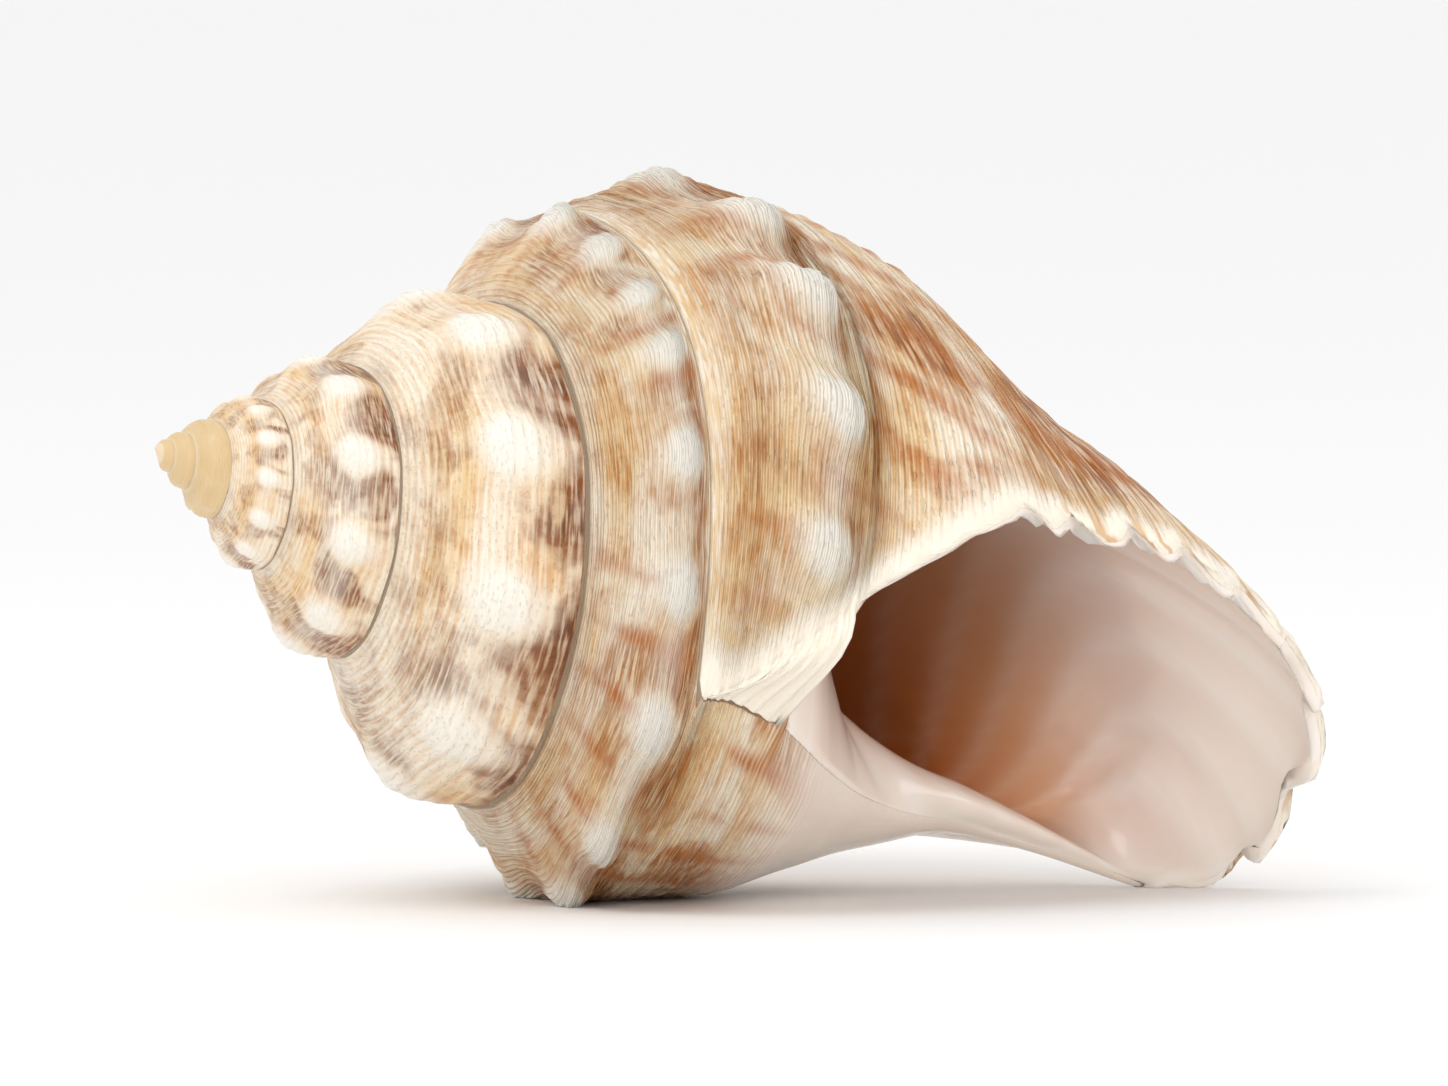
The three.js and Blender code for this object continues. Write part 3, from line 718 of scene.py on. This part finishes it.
# Narrow burnt bands run from the shoulder over the base, beaded where they cross the cords.
band_noise = noise(paint, p("MULTIPLY", turn, 14.0), p("MULTIPLY", row, 0.45), 11.0, detail=1.0)
band_line = ripple(paint, p("MULTIPLY_ADD", turn, 30.0, p("MULTIPLY", band_noise, 0.25)))
band = p("MULTIPLY", p("MULTIPLY", p("POWER", band_line, 4.0), ramp(paint, band_noise, 0.4, 0.52)),
         p("MULTIPLY", ramp(paint, row, 0.4, 1.2, 0.35, 1.0), ramp(paint, turn, 6.1, 6.3, 1.0, 0.75)))
beading = p("MULTIPLY_ADD", threads, 0.6, 0.4)
flamed = blend(p("MULTIPLY", p("MULTIPLY", band, beading), last_whorl), flamed, tint("BC691E"))
ridge = p("ADD", ramp(paint, knob, 0.2, 0.9), p("MULTIPLY", keel, p("MULTIPLY", cloud, 0.9)))
white_part = p("MULTIPLY", ridge, p("MULTIPLY", grown_up, 0.8), clamp=True)
whitened = blend(white_part, flamed, tint("F4EDE0"))
whitened = blend(p("MULTIPLY", filled, 0.65), whitened, blend(dash, tint("F7EEDF"), tint("E9CB9A")))
tip_colour = blend(grown_up, blend(cloud, tint("E6CFA4"), tint("D2AE78")), whitened)
seam = p("MULTIPLY", ramp(paint, row, 0.0, 0.5, 0.45, 0.0), ramp(paint, turn, 5.75, 5.95, 1.0, 0.0))
outer_colour = blend(seam, tip_colour, tint("EFE3D0"))
outer_colour = blend(p("MULTIPLY", glaze, 0.92), outer_colour, tint("F7EADD"))
edge_white = ramp(paint, behind, 0.0, 0.05, 0.7, 0.0)
growth_streak = noise(paint, p("MULTIPLY", turn, 60.0), p("MULTIPLY", row, 1.2), 3.0, detail=2.0)
edge_colour = blend(ramp(paint, growth_streak, 0.4, 0.6), tint("F7EBD6"), tint("EFD3A2"))
outer_colour = blend(edge_white, outer_colour, edge_colour)
outer_colour = blend(ramp(paint, behind, 0.006, 0.022, 0.95, 0.0), outer_colour, tint("F8EEDD"))
spot_noise = noise(paint, p("MULTIPLY", row, 5.0), 0.0, 21.0, detail=1.0)
spots_on_lip = p("MULTIPLY", ramp(paint, spot_noise, 0.5, 0.62), ramp(paint, behind, 0.004, 0.03, 0.7, 0.0))
spots_on_lip = p("MULTIPLY", spots_on_lip, ramp(paint, row, 5.2, 6.0))
outer_colour = blend(spots_on_lip, outer_colour, tint("D39A50"))

# Inside, the glaze goes from pinkish white at the lip to burnt orange in the depth.
mouth = blend(ramp(paint, depth, 0.03, 0.2), tint("F7EADD"), tint("EFD8CA"))
mouth = blend(ramp(paint, depth, 0.16, 0.38), mouth, tint("DBA078"))
mouth = blend(ramp(paint, depth, 0.32, 0.52), mouth, tint("BE6A2C"))
rib_light = p("MULTIPLY", p("POWER", rib, 2.0), ramp(paint, depth, 0.0, 0.4, 0.55, 0.12))
mouth = blend(rib_light, mouth, tint("FBF3EC"))
inner = ramp(paint, side, 0.4, 0.6)
paint.links.new(blend(inner, outer_colour, mouth), surface.inputs["Base Color"])

# Fine relief below the size of the mesh: growth lines, thread-thin cords and pits.
skin_mask = p("MULTIPLY", p("SUBTRACT", 1.0, glaze), p("SUBTRACT", 1.0, inner))
skin_mask = p("MULTIPLY", skin_mask, ramp(paint, behind, 0.0, 0.02, 0.15, 1.0))
skin_mask = p("MULTIPLY", skin_mask, p("MULTIPLY_ADD", filled, -0.6, 1.0))
hair = noise(paint, p("MULTIPLY", turn, 260.0), p("MULTIPLY", row, 3.0), detail=3.0)
pits = noise(paint, p("MULTIPLY", turn, 180.0), p("MULTIPLY", row, 22.0), 4.0, detail=1.0)
pitted = p("MULTIPLY", ramp(paint, pits, 0.3, 0.42), 0.6)
relief = p("ADD", threads, p("ADD", hair, pitted))
bump = paint.nodes.new("ShaderNodeBump")
bump.inputs["Strength"].default_value = 0.9
bump.inputs["Distance"].default_value = 0.3 * MM
paint.links.new(p("MULTIPLY", relief, p("MULTIPLY", skin_mask, size)), bump.inputs["Height"])
paint.links.new(bump.outputs[0], surface.inputs["Normal"])
shine = p("MULTIPLY_ADD", skin_mask, 0.26, 0.17)
polish = p("MULTIPLY", ramp(paint, knob, 0.3, 0.8), -0.15)
paint.links.new(p("ADD", shine, polish), surface.inputs["Roughness"])
paint.links.new(p("MULTIPLY_ADD", skin_mask, -0.5, 0.6), surface.inputs["Coat Weight"])
surface.inputs["Coat Roughness"].default_value = 0.12
surface.inputs["Subsurface Weight"].default_value = 0.12
surface.inputs["Subsurface Radius"].default_value = (1.0, 0.6, 0.4)
surface.inputs["Subsurface Scale"].default_value = 1.5 * MM

modifier = wound.modifiers.new("sculpture", "NODES")
modifier.node_group = sculpture
for socket in sculpture.interface.items_tree:
    if socket.in_out == "INPUT" and socket.name in sculpture_sizes:
        modifier[socket.identifier] = sculpture_sizes[socket.name]
    elif socket.in_out == "INPUT" and socket.name == "Shell":
        modifier[socket.identifier] = lime
bpy.context.view_layer.update()
finished = bpy.data.meshes.new_from_object(wound.evaluated_get(bpy.context.evaluated_depsgraph_get()))
bpy.data.objects.remove(wound)
shell = bpy.data.objects.new("whole_shell", finished)
bpy.context.collection.objects.link(shell)
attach(shell, "root")
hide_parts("shell")

# ---------------------------------------------------------------------------------------------
# The studio: a plain white table, a soft light above and to the front left, a weaker one low at the
# front right, and a bright room all round. None of it is part of the shell.
# ---------------------------------------------------------------------------------------------
table_half = 12.0
table_mesh = bpy.data.meshes.new("table")
table_mesh.from_pydata([(-table_half, -table_half, 0), (table_half, -table_half, 0),
                        (table_half, table_half, 0), (-table_half, table_half, 0)], [], [(0, 1, 2, 3)])
table = bpy.data.objects.new("table", table_mesh)
bpy.context.collection.objects.link(table)
white_card = bpy.data.materials.new("white_card")
white_card.use_nodes = True
white_card.node_tree.nodes["Principled BSDF"].inputs["Base Color"].default_value = (0.96, 0.96, 0.96, 1)
white_card.node_tree.nodes["Principled BSDF"].inputs["Roughness"].default_value = 0.8
table_mesh.materials.append(white_card)

room = bpy.data.worlds.new("bright room")
bpy.context.scene.world = room
room.use_nodes = True
room.node_tree.nodes["Background"].inputs["Color"].default_value = (1, 1, 1, 1)
room.node_tree.nodes["Background"].inputs["Strength"].default_value = 0.95
bpy.context.scene.view_settings.view_transform = "Standard"

target = Vector((0, 0, 0.03))
for name, spot, width, power in (("window", (-0.35, -0.35, 0.75), 0.4, 1.8),
                                 ("fill", (0.35, -0.8, 0.3), 0.4, 0.8)):
    lamp = bpy.data.lights.new(name, "AREA")
    lamp.size = width
    lamp.energy = power
    lamp_object = bpy.data.objects.new(name, lamp)
    lamp_object.location = spot
    lamp_object.rotation_euler = (Vector(spot) - target).to_track_quat("Z", "Y").to_euler()
    bpy.context.collection.objects.link(lamp_object)

# The camera stands in front of the mouth, a little above the table.
camera = bpy.data.cameras.new("camera")
camera_distance = 3.0
view_width = 0.1448
camera.sensor_width = 36
camera.lens = camera.sensor_width * camera_distance / view_width
camera.clip_end = 20
camera_object = bpy.data.objects.new("camera", camera)
bpy.context.collection.objects.link(camera_object)
looking_down, roll = math.radians(3.5), math.radians(-0.6)
turned = Matrix.Rotation(math.pi / 2 - looking_down, 4, "X") @ Matrix.Rotation(roll, 4, "Z")
aim = Vector((-1.85 * MM, -22.9 * MM, 37.0 * MM))
camera_object.matrix_world = Matrix.Translation(aim + turned.col[2].to_3d() * camera_distance) @ turned
bpy.context.scene.camera = camera_object
